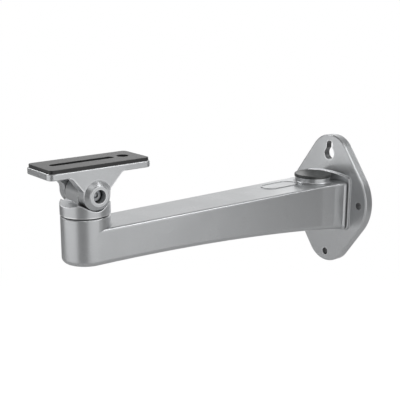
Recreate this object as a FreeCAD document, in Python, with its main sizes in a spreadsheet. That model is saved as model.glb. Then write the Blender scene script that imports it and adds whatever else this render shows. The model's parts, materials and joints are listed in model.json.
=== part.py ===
import FreeCAD, Part
import Sketcher
import math
import os

# Camera wall bracket: a hollow cast arm with a pan swivel and a tilting camera plate.
# Millimetres, +Z up. The origin is the centre of the wall flange's back face. The wall is the
# plane y = 0, the arm runs along -Y to the upright pan axis, and the tilt axis runs along X.

DIMENSIONS = {
    # Arm and barrel
    "reach": 300.0,
    "arm_top": 22.3,
    "arm_root_half": 25.4,
    "arm_root_drop": 20.4,
    "arm_top_round": 2.3,
    "low_round": 4.4,
    "arm_wall": 4.0,
    "barrel_radius": 20.5,
    "barrel_top": 31.6,
    "barrel_floor": -8.0,
    "barrel_top_round": 1.0,
    "cavity_end": 24.0,
    # Foot where the arm widens into the flange
    "flare_length": 35.5,
    "flare_knee": 17.0,
    "flare_knee_half": 26.5,
    "flare_half": 28.0,
    "bead_half": 29.3,
    "bead_depth": 14.9,
    "bead_thick": 1.5,
    "bead_slope": 1.7,
    "bead_slope_drop": 1.1,
    "bead_floor": -26.8,
    "bead_corner": 4.0,
    "bead_top_drop": 0.4,
    "bead_top_corner": 1.8,
    "foot_half": 31.0,
    "foot_depth": 12.0,
    "foot_crown": 30.0,
    "foot_crown_radius": 150.0,
    "foot_corner": 5.0,
    "foot_floor": -27.9,
    "foot_edge_round": 1.2,
    # Wall flange
    "flange_height": 135.0,
    "flange_width": 103.0,
    "flange_thick": 9.5,
    "flange_tip_radius": 25.6,
    "flange_side_radius": 44.6,
    "flange_edge_round": 1.5,
    "flange_root_round": 1.0,
    "rim_width": 5.5,
    "back_recess": 2.2,
    "screw_hole": 7.2,
    "screw_boss": 15.0,
    "side_hole_edge": 9.5,
    "low_hole_edge": 10.0,
    "keyhole_edge": 19.5,
    "keyhole_head": 12.6,
    "keyhole_neck": 7.8,
    "keyhole_rise": 9.4,
    # Cable port
    "port_distance": 33.0,
    "collar_diameter": 35.6,
    "collar_top": 28.3,
    "collar_root_round": 2.0,
    "port_bore": 30.8,
    "plug_diameter": 37.2,
    "plug_thick": 2.1,
    "plug_wall": 2.0,
    "plug_skirt": 7.0,
    "plug_edge_round": 0.6,
    # Pan joint
    "joint_play": 0.05,
    "running_play": 0.07,
    "ring_thick": 1.0,
    "ring_inset": 1.5,
    "spigot_diameter": 20.0,
    "spigot_length": 4.0,
    "register_depth": 4.4,
    "pan_pocket": 27.0,
    "pan_deck": 18.0,
    "pan_hole": 8.4,
    "pan_thread": 8.0,
    "pan_screw_length": 25.0,
    "pan_thread_depth": 14.5,
    "pan_head": 13.0,
    "pan_head_height": 8.0,
    "pan_socket": 6.0,
    "pan_socket_depth": 4.0,
    "flat_washer_diameter": 16.0,
    "flat_washer_thick": 1.6,
    "spring_washer_diameter": 12.7,
    "spring_washer_thick": 2.0,
    "spring_washer_slit": 1.2,
    "washer_play": 0.2,
    "thread_play": 0.05,
    "screw_head_round": 0.5,
    "screw_point": 0.7,
    # Neck and tongue
    "neck_radius": 20.7,
    "neck_edge_round": 0.6,
    "tongue_width": 20.0,
    "tongue_radius": 12.0,
    "shoulder_drop": 5.9,
    "rim_drop": 9.9,
    "valley_floor": 5.2,
    "valley_slope": 0.55,
    "valley_half": 16.0,
    # Ears of the camera plate
    "ear_radius": 12.2,
    "ear_clearance": 0.45,
    "ear_face": 19.7,
    "ear_edge_round": 0.5,
    "ear_recess_radius": 12.7,
    "ear_recess_round": 0.4,
    "web_low": 2.7,
    "web_knee": 4.6,
    "web_front": 22.2,
    "web_back": 24.0,
    "web_knee_round": 2.0,
    "web_root_round": 4.0,
    "ring_radius": 8.7,
    "ring_face": 23.3,
    "ring_edge_round": 0.7,
    "ring_root_round": 2.2,
    # Tilt screw, nut and washers
    "tilt_thread": 6.0,
    "tilt_screw_length": 35.0,
    "tilt_head": 10.0,
    "tilt_head_height": 4.0,
    "tilt_socket": 4.0,
    "tilt_socket_depth": 2.2,
    "tilt_recess": 10.9,
    "tilt_seat": 13.2,
    "tilt_hole": 6.4,
    "nut_flats": 10.0,
    "nut_thick": 5.0,
    "nut_play": 0.1,
    "side_washer_diameter": 18.0,
    "side_washer_thick": 0.6,
    # Camera plate and pad
    "plate_rise": 17.0,
    "plate_length": 94.2,
    "plate_width": 40.4,
    "plate_thick": 5.4,
    "plate_shift": 5.65,
    "plate_corner": 5.0,
    "plate_edge_round": 0.9,
    "pad_inset": 1.2,
    "pad_thick": 2.7,
    "pad_edge_round": 0.4,
    "slot_width": 6.8,
    "slot_front": 30.5,
    "slot_back": 27.8,
    "stud_hole": 10.0,
    "stud_hole_back": 37.0,
}

doc = FreeCAD.newDocument("camera_wall_bracket")
sheet = doc.addObject("Spreadsheet::Sheet", "dims")
for row, (alias, number) in enumerate(DIMENSIONS.items(), start=1):
    sheet.set(f"A{row}", alias)
    sheet.set(f"B{row}", str(number))
    sheet.setAlias(f"B{row}", alias)
doc.recompute()


# Sizes that know both their number and their sheet formula

class Size:
    """A length worked out from the sheet: its number now, and the formula that keeps it tied."""

    def __init__(self, number, formula):
        self.number = number
        self.formula = formula

    def __add__(self, other):
        return Size(self.number + number_of(other), f"({self.formula} + {formula_of(other)})")

    def __radd__(self, other):
        return self + other

    def __sub__(self, other):
        return Size(self.number - number_of(other), f"({self.formula} - {formula_of(other)})")

    def __rsub__(self, other):
        return Size(number_of(other) - self.number, f"({formula_of(other)} - {self.formula})")

    def __mul__(self, other):
        return Size(self.number * number_of(other), f"({self.formula} * {formula_of(other)})")

    def __rmul__(self, other):
        return self * other

    def __truediv__(self, other):
        return Size(self.number / number_of(other), f"({self.formula} / {formula_of(other)})")

    def __neg__(self):
        return self * -1


class Sheet:
    """Reads each alias of the sheet as a Size: d.reach is the reach."""

    def __getattr__(self, alias):
        return Size(float(sheet.get(alias)), f"dims.{alias}")


def number_of(item):
    return item.number if isinstance(item, Size) else float(item)


def formula_of(item):
    return item.formula if isinstance(item, Size) else f"({float(item)})"


def root(size):
    return Size(math.sqrt(number_of(size)), f"sqrt({formula_of(size)})")


d = Sheet()
PAN_AXIS = -d.reach


# Sketches

def bind(target, name, size):
    """Give a property its size from the sheet."""
    target.setExpression(name, formula_of(size))


def new_body(label):
    body = doc.addObject("PartDesign::Body", label)
    body.Label = label
    return body


def new_sketch(body, name, plane, across=0, up=0, height=0):
    """A sketch on one of the body's own planes, its origin moved across, up and off the plane."""
    sketch = body.newObject("Sketcher::SketchObject", name)
    support = next(item for item in body.Origin.OriginFeatures if item.Role == plane)
    sketch.AttachmentSupport = [(support, "")]
    sketch.MapMode = "FlatFace"
    bind(sketch, "AttachmentOffset.Base.x", across)
    bind(sketch, "AttachmentOffset.Base.y", up)
    bind(sketch, "AttachmentOffset.Base.z", height)
    return sketch


def side_sketch(body, name, side_at=0):
    """A sketch seen along X, with its origin on the tilt axis: across is Y, up is Z."""
    return new_sketch(body, name, "YZ_Plane", PAN_AXIS, TILT_AXIS, side_at)


def plan_sketch(body, name, height, distance=None):
    """A sketch seen from above, with its origin on the pan axis or at a distance from the wall."""
    up = PAN_AXIS if distance is None else -distance
    return new_sketch(body, name, "XY_Plane", 0, up, height)


def pin_point(sketch, geometry, position, across, up):
    """Hold one point of a sketch at sizes from the sketch's origin. None leaves one free."""
    for kind, size in (("DistanceX", across), ("DistanceY", up)):
        if size is None:
            continue
        index = sketch.addConstraint(
            Sketcher.Constraint(kind, -1, 1, geometry, position, number_of(size)))
        bind(sketch, f"Constraints[{index}]", size)


def hold_radius(sketch, geometry, radius):
    index = sketch.addConstraint(Sketcher.Constraint("Radius", geometry, number_of(radius)))
    bind(sketch, f"Constraints[{index}]", radius)


def draw_circle(sketch, across, up, radius):
    centre = FreeCAD.Vector(number_of(across), number_of(up), 0)
    circle = sketch.addGeometry(Part.Circle(centre, FreeCAD.Vector(0, 0, 1), number_of(radius)))
    pin_point(sketch, circle, 3, across, up)
    hold_radius(sketch, circle, radius)


def arc_about(centre, radius, first, last):
    """The arc that runs anticlockwise about centre from first to last."""
    circle = Part.Circle(centre, FreeCAD.Vector(0, 0, 1), radius)
    start = math.atan2(first.y - centre.y, first.x - centre.x)
    end = math.atan2(last.y - centre.y, last.x - centre.x)
    if end <= start:
        end += 2 * math.pi
    return Part.ArcOfCircle(circle, start, end)


def bowed_side(first, last, radius):
    """An arc between two corners. A positive radius has its centre to the left of the way."""
    side = 1 if radius > 0 else -1
    chord = last - first
    height = math.sqrt(max(0.0, radius * radius - chord.Length ** 2 / 4))
    left = FreeCAD.Vector(-chord.y, chord.x, 0).normalize()
    centre = (first + last) * 0.5 + left * height * side
    ends = (first, last) if side > 0 else (last, first)
    return arc_about(centre, abs(radius), *ends), side


def draw_outline(sketch, corners, bows=None):
    """A closed outline through corners (across, up) or, for a rounded one, (across, up, radius).

    bows maps the number of a side, counted from its first corner, to the radius of the arc that
    takes the side's place.
    """
    bows = bows or {}
    count = len(corners)
    at = [FreeCAD.Vector(number_of(c[0]), number_of(c[1]), 0) for c in corners]
    starts, ends, arcs = list(at), list(at), {}
    for i in range(count):
        if len(corners[i]) < 3:
            continue
        way_in = (at[i] - at[i - 1]).normalize()
        way_out = (at[(i + 1) % count] - at[i]).normalize()
        turn = math.atan2(way_in.cross(way_out).z, way_in.dot(way_out))
        side = 1 if turn > 0 else -1
        radius = number_of(corners[i][2])
        inset = radius * math.tan(abs(turn) / 2)
        starts[i] = at[i] - way_in * inset
        ends[i] = at[i] + way_out * inset
        centre = starts[i] + FreeCAD.Vector(-way_in.y, way_in.x, 0) * side * radius
        order = (starts[i], ends[i]) if side > 0 else (ends[i], starts[i])
        arcs[i] = (arc_about(centre, radius, *order), side)
    sides = []
    for i in range(count):
        j = (i + 1) % count
        if i in bows:
            arc, side = bowed_side(at[i], at[j], number_of(bows[i]))
            index = sketch.addGeometry(arc)
            if near((at[j] - at[i]).Length, bows[i] * side * 2, 0.001):
                # A half circle between two corners at one height: its centre has that height too
                pin_point(sketch, index, 3, None, corners[i][1])
            else:
                hold_radius(sketch, index, bows[i] * side)
            sides.append((index, 1, 2) if side > 0 else (index, 2, 1))
        else:
            sides.append((sketch.addGeometry(Part.LineSegment(ends[i], starts[j])), 1, 2))
    for i in range(count):
        before, after = sides[i - 1], sides[i]
        if i not in arcs:
            sketch.addConstraint(
                Sketcher.Constraint("Coincident", before[0], before[2], after[0], after[1]))
            pin_point(sketch, after[0], after[1], corners[i][0], corners[i][1])
            continue
        arc, side = arcs[i]
        index = sketch.addGeometry(arc)
        near_end, far_end = (1, 2) if side > 0 else (2, 1)
        sketch.addConstraint(
            Sketcher.Constraint("Tangent", before[0], before[2], index, near_end))
        sketch.addConstraint(Sketcher.Constraint("Tangent", index, far_end, after[0], after[1]))
        hold_radius(sketch, index, corners[i][2])
        point = sketch.addGeometry(Part.Point(at[i]), True)
        pin_point(sketch, point, 1, corners[i][0], corners[i][1])
        sketch.addConstraint(Sketcher.Constraint("PointOnObject", point, 1, before[0]))
        sketch.addConstraint(Sketcher.Constraint("PointOnObject", point, 1, after[0]))


def draw_slot(sketch, low, high, width):
    """An upright slot on the sketch's own vertical axis, between two round ends."""
    radius = width / 2
    x, bottom, top = number_of(radius), number_of(low + radius), number_of(high - radius)
    normal = FreeCAD.Vector(0, 0, 1)
    upper = sketch.addGeometry(
        Part.ArcOfCircle(Part.Circle(FreeCAD.Vector(0, top, 0), normal, x), 0, math.pi))
    left = sketch.addGeometry(
        Part.LineSegment(FreeCAD.Vector(-x, top, 0), FreeCAD.Vector(-x, bottom, 0)))
    lower = sketch.addGeometry(
        Part.ArcOfCircle(Part.Circle(FreeCAD.Vector(0, bottom, 0), normal, x), math.pi, 2 * math.pi))
    right = sketch.addGeometry(
        Part.LineSegment(FreeCAD.Vector(x, bottom, 0), FreeCAD.Vector(x, top, 0)))
    pin_point(sketch, upper, 3, 0, high - radius)
    pin_point(sketch, lower, 3, 0, low + radius)
    hold_radius(sketch, upper, radius)
    for first, second in ((upper, left), (left, lower), (lower, right), (right, upper)):
        sketch.addConstraint(Sketcher.Constraint("Tangent", first, 2, second, 1))


def draw_hexagon(sketch, flats):
    """A regular hexagon about the sketch's origin, two corners on its horizontal axis."""
    corner = flats / math.sqrt(3)
    half = flats / 2
    draw_outline(sketch, [
        (corner, 0), (corner / 2, half), (-corner / 2, half),
        (-corner, 0), (-corner / 2, -half), (corner / 2, -half)])


# Features

def extrude(body, kind, name, sketch, length, both_ways=False, reverse=False):
    """A Pad or Pocket of one sketch."""
    feature = body.newObject(f"PartDesign::{kind}", name)
    feature.Profile = sketch
    bind(feature, "Length", length)
    feature.SideType = "Symmetric" if both_ways else "One side"
    feature.Reversed = reverse
    sketch.Visibility = False
    doc.recompute()
    return feature


def turn_round(body, kind, name, sketch, axis="V_Axis"):
    """A full turn of one sketch, as a Revolution or a Groove."""
    feature = body.newObject(f"PartDesign::{kind}", name)
    feature.Profile = sketch
    feature.ReferenceAxis = (sketch, [axis])
    feature.Angle = 360
    doc.recompute()
    return feature


def round_edges(body, name, radius, wanted):
    """Round the edges of the body so far whose shape the function wanted accepts."""
    base = body.Tip
    names = [f"Edge{i}" for i, edge in enumerate(base.Shape.Edges, start=1) if wanted(edge)]
    feature = body.newObject("PartDesign::Fillet", name)
    feature.Base = (base, names)
    bind(feature, "Radius", radius)
    doc.recompute()
    return feature


def near(first, second, slack=0.02):
    return abs(first - number_of(second)) < slack


def lies_at(edge, axis, place, slack=0.02):
    """Whether the whole edge lies in the plane axis = place, axis being X, Y or Z."""
    box = edge.BoundBox
    low, high = getattr(box, axis + "Min"), getattr(box, axis + "Max")
    return near(low, place, slack) and near(high, place, slack)


# Arm casting

BOW_RADIUS = (d.reach * d.reach + d.arm_root_drop * d.arm_root_drop) / (d.arm_root_drop * 2)


def underside(distance, lift=0):
    """Height of the arm's bowed underside at a distance from the pan axis."""
    radius = BOW_RADIUS + lift
    return d.barrel_floor - BOW_RADIUS + root(radius * radius - distance * distance)


def draw_flange(sketch, inset=0):
    """Four arcs joined by straight flanks: a rounded diamond."""
    high = d.flange_height / 2 - d.flange_tip_radius
    wide = d.flange_width / 2 - d.flange_side_radius
    tip = d.flange_tip_radius - inset
    side = d.flange_side_radius - inset
    gap = math.hypot(number_of(high), number_of(wide))
    lean = math.atan2(number_of(high), -number_of(wide))
    flank = lean - math.acos((number_of(side) - number_of(tip)) / gap)
    arcs = []
    rounds = [(wide, 0, side, -flank, flank), (0, high, tip, flank, math.pi - flank),
              (-wide, 0, side, math.pi - flank, math.pi + flank),
              (0, -high, tip, math.pi + flank, 2 * math.pi - flank)]
    for across, up, radius, start, end in rounds:
        centre = FreeCAD.Vector(number_of(across), number_of(up), 0)
        circle = Part.Circle(centre, FreeCAD.Vector(0, 0, 1), number_of(radius))
        arcs.append(sketch.addGeometry(Part.ArcOfCircle(circle, start, end)))
    for i in range(4):
        following = arcs[(i + 1) % 4]
        first = sketch.Geometry[arcs[i]].EndPoint
        last = sketch.Geometry[following].StartPoint
        line = sketch.addGeometry(Part.LineSegment(first, last))
        sketch.addConstraint(Sketcher.Constraint("Tangent", arcs[i], 2, line, 1))
        sketch.addConstraint(Sketcher.Constraint("Tangent", line, 2, following, 1))
    for index, (across, up, radius, start, end) in zip(arcs, rounds):
        pin_point(sketch, index, 3, across, up)
        hold_radius(sketch, index, radius)


def draw_foot_section(sketch):
    """The foot's cross-section: arched top, upright sides, all four corners rounded."""
    half = d.foot_half
    crown = d.foot_crown
    floor = d.foot_floor
    arch = d.foot_crown_radius
    corner = d.foot_corner
    arch_centre = crown - arch
    inner = number_of(arch - corner)
    centre_x = number_of(half - corner)
    centre_z = number_of(arch_centre) + math.sqrt(inner * inner - centre_x * centre_x)
    lean = math.atan2(centre_z - number_of(arch_centre), centre_x)
    low_z = number_of(floor + corner)
    r = number_of(corner)
    normal = FreeCAD.Vector(0, 0, 1)

    def arc(x, z, radius, start, end):
        circle = Part.Circle(FreeCAD.Vector(x, z, 0), normal, radius)
        return sketch.addGeometry(Part.ArcOfCircle(circle, start, end))

    def line(x1, z1, x2, z2):
        ends = (FreeCAD.Vector(x1, z1, 0), FreeCAD.Vector(x2, z2, 0))
        return sketch.addGeometry(Part.LineSegment(*ends))

    x = number_of(half)
    ring = [
        line(x, low_z, x, centre_z),
        arc(centre_x, centre_z, r, 0, lean),
        arc(0, number_of(arch_centre), number_of(arch), lean, math.pi - lean),
        arc(-centre_x, centre_z, r, math.pi - lean, math.pi),
        line(-x, centre_z, -x, low_z),
        arc(-centre_x, low_z, r, math.pi, 1.5 * math.pi),
        line(-centre_x, low_z - r, centre_x, low_z - r),
        arc(centre_x, low_z, r, 1.5 * math.pi, 2 * math.pi),
    ]
    for i, index in enumerate(ring):
        following = ring[(i + 1) % len(ring)]
        sketch.addConstraint(Sketcher.Constraint("Tangent", index, 2, following, 1))
    pin_point(sketch, ring[2], 3, 0, arch_centre)
    hold_radius(sketch, ring[2], arch)
    for index in (ring[1], ring[3], ring[5], ring[7]):
        hold_radius(sketch, index, corner)
    pin_point(sketch, ring[5], 3, -half + corner, floor + corner)
    pin_point(sketch, ring[7], 3, half - corner, floor + corner)


def draw_bead_section(sketch, shrink):
    """The cross-section of the bead round the arm's root. Its top stays just inside the arm."""
    half = d.bead_half - shrink
    top = d.arm_top - d.bead_top_drop - shrink
    floor = d.bead_floor + shrink
    draw_outline(sketch, [
        (half, floor, d.bead_corner), (half, top, d.bead_top_corner),
        (-half, top, d.bead_top_corner), (-half, floor, d.bead_corner)])


def build_arm_core():
    """The hollow inside the arm, the shape of the core it is cast around."""
    body = new_body("arm_core")
    slope = (d.arm_root_half - d.barrel_radius) / (d.reach - d.flange_thick - d.flare_length)
    tip = d.barrel_radius + slope * d.cavity_end - d.arm_wall - 1
    mouth = tip + slope * (d.reach - d.cavity_end)
    end = PAN_AXIS + d.cavity_end
    plan = new_sketch(body, "core_plan", "XY_Plane")
    draw_outline(plan, [(tip, end), (mouth, 0), (-mouth, 0), (-tip, end)])
    extrude(body, "Pad", "core_blank", plan, d.flange_height, both_ways=True)
    top = d.arm_top - d.arm_wall
    high = d.flange_height
    above = new_sketch(body, "core_top", "YZ_Plane")
    draw_outline(above, [(end - 1, top), (1, top), (1, high), (end - 1, high)])
    extrude(body, "Pocket", "core_under_top", above, d.flange_width, both_ways=True)
    below = new_sketch(body, "core_low", "YZ_Plane")
    lift = d.arm_wall
    draw_outline(below, [
        (end - 1, underside(d.cavity_end - 1, lift)),
        (end - 1, -high),
        (1, -high),
        (1, underside(d.reach + 1, lift))], bows={3: BOW_RADIUS + lift})
    extrude(body, "Pocket", "core_over_floor", below, d.flange_width, both_ways=True)
    return body


def build_arm():
    core = build_arm_core()
    body = new_body("arm_casting")

    # Tapered arm with its bowed underside. Its sides run off the barrel's round without a corner.
    low = d.barrel_floor - d.arm_root_drop - 5
    plan = plan_sketch(body, "arm_plan", low)
    flare_start = d.reach - d.flange_thick - d.flare_length
    knee_at = flare_start + d.flare_knee
    bead_front = d.reach - d.bead_depth
    root_at = d.reach - d.flange_thick / 2
    radius = d.barrel_radius
    far = d.arm_root_half * d.arm_root_half + flare_start * flare_start
    along = root(far - radius * radius)
    touch = radius * (radius * d.arm_root_half + flare_start * along) / far
    touch_at = radius * (radius * flare_start - d.arm_root_half * along) / far
    right = [(touch, touch_at), (d.arm_root_half, flare_start, 60),
             (d.flare_knee_half, knee_at, 20), (d.flare_half, bead_front, 4),
             (d.flare_half, root_at)]
    left = [(-corner[0],) + corner[1:] for corner in reversed(right)]
    draw_outline(plan, right + left, bows={9: radius})
    extrude(body, "Pad", "arm_blank", plan, d.arm_top - low)
    bow = new_sketch(body, "arm_bow", "YZ_Plane")
    front = PAN_AXIS - radius - 1
    draw_outline(bow, [
        (PAN_AXIS, d.barrel_floor),
        (front, d.barrel_floor),
        (front, -d.flange_height),
        (1, -d.flange_height),
        (1, underside(d.reach + 1))], bows={4: BOW_RADIUS})
    extrude(body, "Pocket", "arm_underside", bow, d.flange_width, both_ways=True)

    def at_root(edge):
        return lies_at(edge, "Y", -d.flange_thick / 2)

    round_edges(body, "arm_low_edges", d.low_round,
                lambda edge: edge.BoundBox.ZMax < number_of(d.barrel_floor) + 0.1
                and not at_root(edge))
    round_edges(body, "arm_top_edges", d.arm_top_round,
                lambda edge: lies_at(edge, "Z", d.arm_top) and not at_root(edge))

    # Barrel above the arm
    barrel = plan_sketch(body, "barrel_outline", d.barrel_floor + d.low_round * 2)
    draw_circle(barrel, 0, 0, radius)
    extrude(body, "Pad", "barrel", barrel, d.barrel_top - d.barrel_floor - d.low_round * 2)
    round_edges(body, "barrel_top_edge", d.barrel_top_round,
                lambda edge: lies_at(edge, "Z", d.barrel_top))

    # Foot against the wall flange, and the bead round the arm's root in front of it
    section = new_sketch(body, "foot_section", "XZ_Plane", height=d.flange_thick / 2)
    draw_foot_section(section)
    extrude(body, "Pad", "foot", section, d.foot_depth - d.flange_thick / 2)

    def on_foot_edge(edge):
        box = edge.BoundBox
        wide = max(abs(box.XMin), abs(box.XMax)) > number_of(d.flare_half) + 1
        outside = wide or box.ZMax > number_of(d.arm_top) + 1 or box.ZMax < number_of(d.foot_floor) + 0.1
        return lies_at(edge, "Y", -d.foot_depth) and outside

    round_edges(body, "foot_edge", d.foot_edge_round, on_foot_edge)
    back = new_sketch(body, "bead_section", "XZ_Plane", height=d.bead_depth - d.bead_thick)
    draw_bead_section(back, 0)
    extrude(body, "Pad", "bead", back, d.bead_thick)
    lip = new_sketch(body, "bead_lip_section", "XZ_Plane", height=d.bead_depth)
    draw_bead_section(lip, 0)
    inner = new_sketch(body, "bead_front_section", "XZ_Plane", height=d.bead_depth + d.bead_slope)
    draw_bead_section(inner, d.bead_slope_drop)
    slope = body.newObject("PartDesign::AdditiveLoft", "bead_slope")
    slope.Profile = lip
    slope.Sections = [inner]
    slope.Ruled = True
    doc.recompute()

    # Wall flange, and the collar of the cable port
    outline = new_sketch(body, "flange_outline", "XZ_Plane")
    draw_flange(outline)
    extrude(body, "Pad", "flange", outline, d.flange_thick)

    def outside_foot(edge):
        box = edge.BoundBox
        wide = max(abs(box.XMin), abs(box.XMax)) > number_of(d.foot_half) + 1
        return wide or max(abs(box.ZMin), abs(box.ZMax)) > number_of(d.foot_crown) + 1

    round_edges(body, "flange_edge", d.flange_edge_round,
                lambda edge: lies_at(edge, "Y", -d.flange_thick) and outside_foot(edge))
    round_edges(body, "flange_root", d.flange_root_round,
                lambda edge: lies_at(edge, "Y", -d.flange_thick) and not outside_foot(edge))
    collar = plan_sketch(body, "collar_outline", d.arm_top - d.arm_wall / 2, d.port_distance)
    draw_circle(collar, 0, 0, d.collar_diameter / 2)
    extrude(body, "Pad", "collar", collar, d.collar_top - d.arm_top + d.arm_wall / 2)
    round_edges(body, "collar_root", d.collar_root_round,
                lambda edge: lies_at(edge, "Z", d.arm_top)
                and near(edge.BoundBox.YLength, d.collar_diameter))

    # Hollow inside, recess in the back, bosses round the screw holes
    hollow = body.newObject("PartDesign::Boolean", "hollow")
    hollow.setObjects([core])
    hollow.Type = "Cut"
    doc.recompute()
    recess = new_sketch(body, "recess_outline", "XZ_Plane")
    draw_flange(recess, d.rim_width)
    extrude(body, "Pocket", "recess", recess, d.back_recess, reverse=True)
    side_hole = d.flange_width / 2 - d.side_hole_edge
    low_hole = d.flange_height / 2 - d.low_hole_edge
    screw_places = [(-side_hole, 0), (side_hole, 0), (0, -low_hole)]
    bosses = new_sketch(body, "boss_outlines", "XZ_Plane")
    holes = new_sketch(body, "screw_hole_outlines", "XZ_Plane")
    for across, up in screw_places:
        draw_circle(bosses, across, up, d.screw_boss / 2)
        draw_circle(holes, across, up, d.screw_hole / 2)
    extrude(body, "Pad", "bosses", bosses, d.flange_thick / 2)
    extrude(body, "Pocket", "screw_holes", holes, d.flange_thick * 4, both_ways=True)
    keyhole = d.flange_height / 2 - d.keyhole_edge
    head = new_sketch(body, "keyhole_head_outline", "XZ_Plane")
    draw_circle(head, 0, keyhole, d.keyhole_head / 2)
    extrude(body, "Pocket", "keyhole_head", head, d.flange_thick * 4, both_ways=True)
    neck = new_sketch(body, "keyhole_neck_outline", "XZ_Plane")
    neck_top = keyhole + d.keyhole_rise + d.keyhole_neck / 2
    draw_slot(neck, keyhole, neck_top, d.keyhole_neck)
    extrude(body, "Pocket", "keyhole_neck", neck, d.flange_thick * 4, both_ways=True)

    # Bore of the cable port, then the pocket, hole and register of the pan joint
    port = plan_sketch(body, "port_outline", d.collar_top + 1, d.port_distance)
    draw_circle(port, 0, 0, d.port_bore / 2)
    extrude(body, "Pocket", "port", port, d.collar_top - d.arm_top + d.arm_wall + 2)
    pocket = plan_sketch(body, "pan_pocket_outline", d.barrel_floor - 1)
    draw_circle(pocket, 0, 0, d.pan_pocket / 2)
    extrude(body, "Pocket", "pan_pocket", pocket, d.pan_deck - d.barrel_floor + 1, reverse=True)
    hole = plan_sketch(body, "pan_hole_outline", d.barrel_top + 1)
    draw_circle(hole, 0, 0, d.pan_hole / 2)
    extrude(body, "Pocket", "pan_hole", hole, d.barrel_top - d.pan_deck + 2)
    register = plan_sketch(body, "register_outline", d.barrel_top)
    draw_circle(register, 0, 0, d.spigot_diameter / 2 + d.running_play)
    extrude(body, "Pocket", "register", register, d.register_depth)
    return body


def build_plug():
    body = new_body("cable_plug")
    top = d.collar_top + d.plug_thick
    outer = d.port_bore / 2 - d.joint_play
    inner = outer - d.plug_wall
    profile = new_sketch(body, "plug_profile", "YZ_Plane", -d.port_distance)
    draw_outline(profile, [
        (0, d.collar_top),
        (inner, d.collar_top),
        (inner, d.collar_top - d.plug_skirt),
        (outer, d.collar_top - d.plug_skirt),
        (outer, d.collar_top),
        (d.plug_diameter / 2, d.collar_top),
        (d.plug_diameter / 2, top, d.plug_edge_round),
        (0, top)])
    turn_round(body, "Revolution", "plug", profile)
    return body


# Pan joint

NECK_BOTTOM = d.barrel_top + d.ring_thick + d.joint_play
VALLEY_RADIUS = d.ear_radius + d.ear_clearance
TILT_AXIS = NECK_BOTTOM + d.valley_floor + VALLEY_RADIUS
FLAT_WASHER_TOP = d.pan_deck - d.joint_play
SPRING_WASHER_TOP = FLAT_WASHER_TOP - d.flat_washer_thick
PAN_HEAD_TOP = SPRING_WASHER_TOP - d.spring_washer_thick


def build_ring(label, bottom, thick, outer, inner):
    """A flat ring about the pan axis."""
    body = new_body(label)
    sketch = plan_sketch(body, f"{label}_outline", bottom)
    draw_circle(sketch, 0, 0, outer)
    draw_circle(sketch, 0, 0, inner)
    extrude(body, "Pad", f"{label}_blank", sketch, thick)
    return body


def build_neck():
    body = new_body("swivel_neck")
    post = plan_sketch(body, "neck_outline", NECK_BOTTOM)
    draw_circle(post, 0, 0, d.neck_radius)
    extrude(body, "Pad", "neck_blank", post, TILT_AXIS + d.tongue_radius + 1 - NECK_BOTTOM)

    # Tongue between sloped shoulders, then the scooped valleys under the ears
    shoulder = -d.shoulder_drop
    slope = (d.rim_drop - d.shoulder_drop) / (d.neck_radius - d.tongue_radius)
    outside = d.neck_radius + 2
    low = shoulder - slope * (outside - d.tongue_radius)
    high = d.tongue_radius + 3
    sides = side_sketch(body, "tongue_outline")
    draw_outline(sides, [
        (outside, low), (d.tongue_radius, shoulder), (d.tongue_radius, 0),
        (-d.tongue_radius, 0), (-d.tongue_radius, shoulder), (-outside, low),
        (-outside, high), (outside, high)], bows={2: d.tongue_radius})
    extrude(body, "Pocket", "tongue_sides", sides, d.neck_radius * 3, both_ways=True)
    valley_foot = -VALLEY_RADIUS * root(1 + d.valley_slope * d.valley_slope)
    valley_edge = valley_foot + d.valley_half * d.valley_slope
    for side in (1, -1):
        valley = side_sketch(body, "valley_outline", d.tongue_width / 2 * side)
        draw_outline(valley, [
            (-d.valley_half, valley_edge), (0, valley_foot, VALLEY_RADIUS),
            (d.valley_half, valley_edge), (d.valley_half, high), (-d.valley_half, high)])
        extrude(body, "Pocket", "valley", valley, d.neck_radius, reverse=side > 0)

    def on_rim(edge):
        spots = [edge.valueAt(at) for at in edge.ParameterRange]
        spots.append(edge.valueAt(sum(edge.ParameterRange) / 2))
        on_skin = all(near(math.hypot(spot.x, spot.y - number_of(PAN_AXIS)), d.neck_radius)
                      for spot in spots)
        box = edge.BoundBox
        flat = max(box.XLength, box.YLength) > 0.5
        return on_skin and flat and box.ZMin > number_of(NECK_BOTTOM) + 1

    round_edges(body, "rim", d.neck_edge_round, on_rim)

    spigot = plan_sketch(body, "spigot_outline", NECK_BOTTOM - d.spigot_length)
    draw_circle(spigot, 0, 0, d.spigot_diameter / 2)
    extrude(body, "Pad", "spigot", spigot, d.spigot_length + 1)
    thread = plan_sketch(body, "thread_outline", NECK_BOTTOM - d.spigot_length - 1)
    draw_circle(thread, 0, 0, d.pan_thread / 2 + d.thread_play)
    extrude(body, "Pocket", "pan_thread", thread, d.pan_thread_depth + 1, reverse=True)
    bore = side_sketch(body, "tilt_bore_outline")
    draw_circle(bore, 0, 0, d.tilt_thread / 2 + d.running_play)
    extrude(body, "Pocket", "tilt_bore", bore, d.neck_radius * 3, both_ways=True)
    return body


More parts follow.
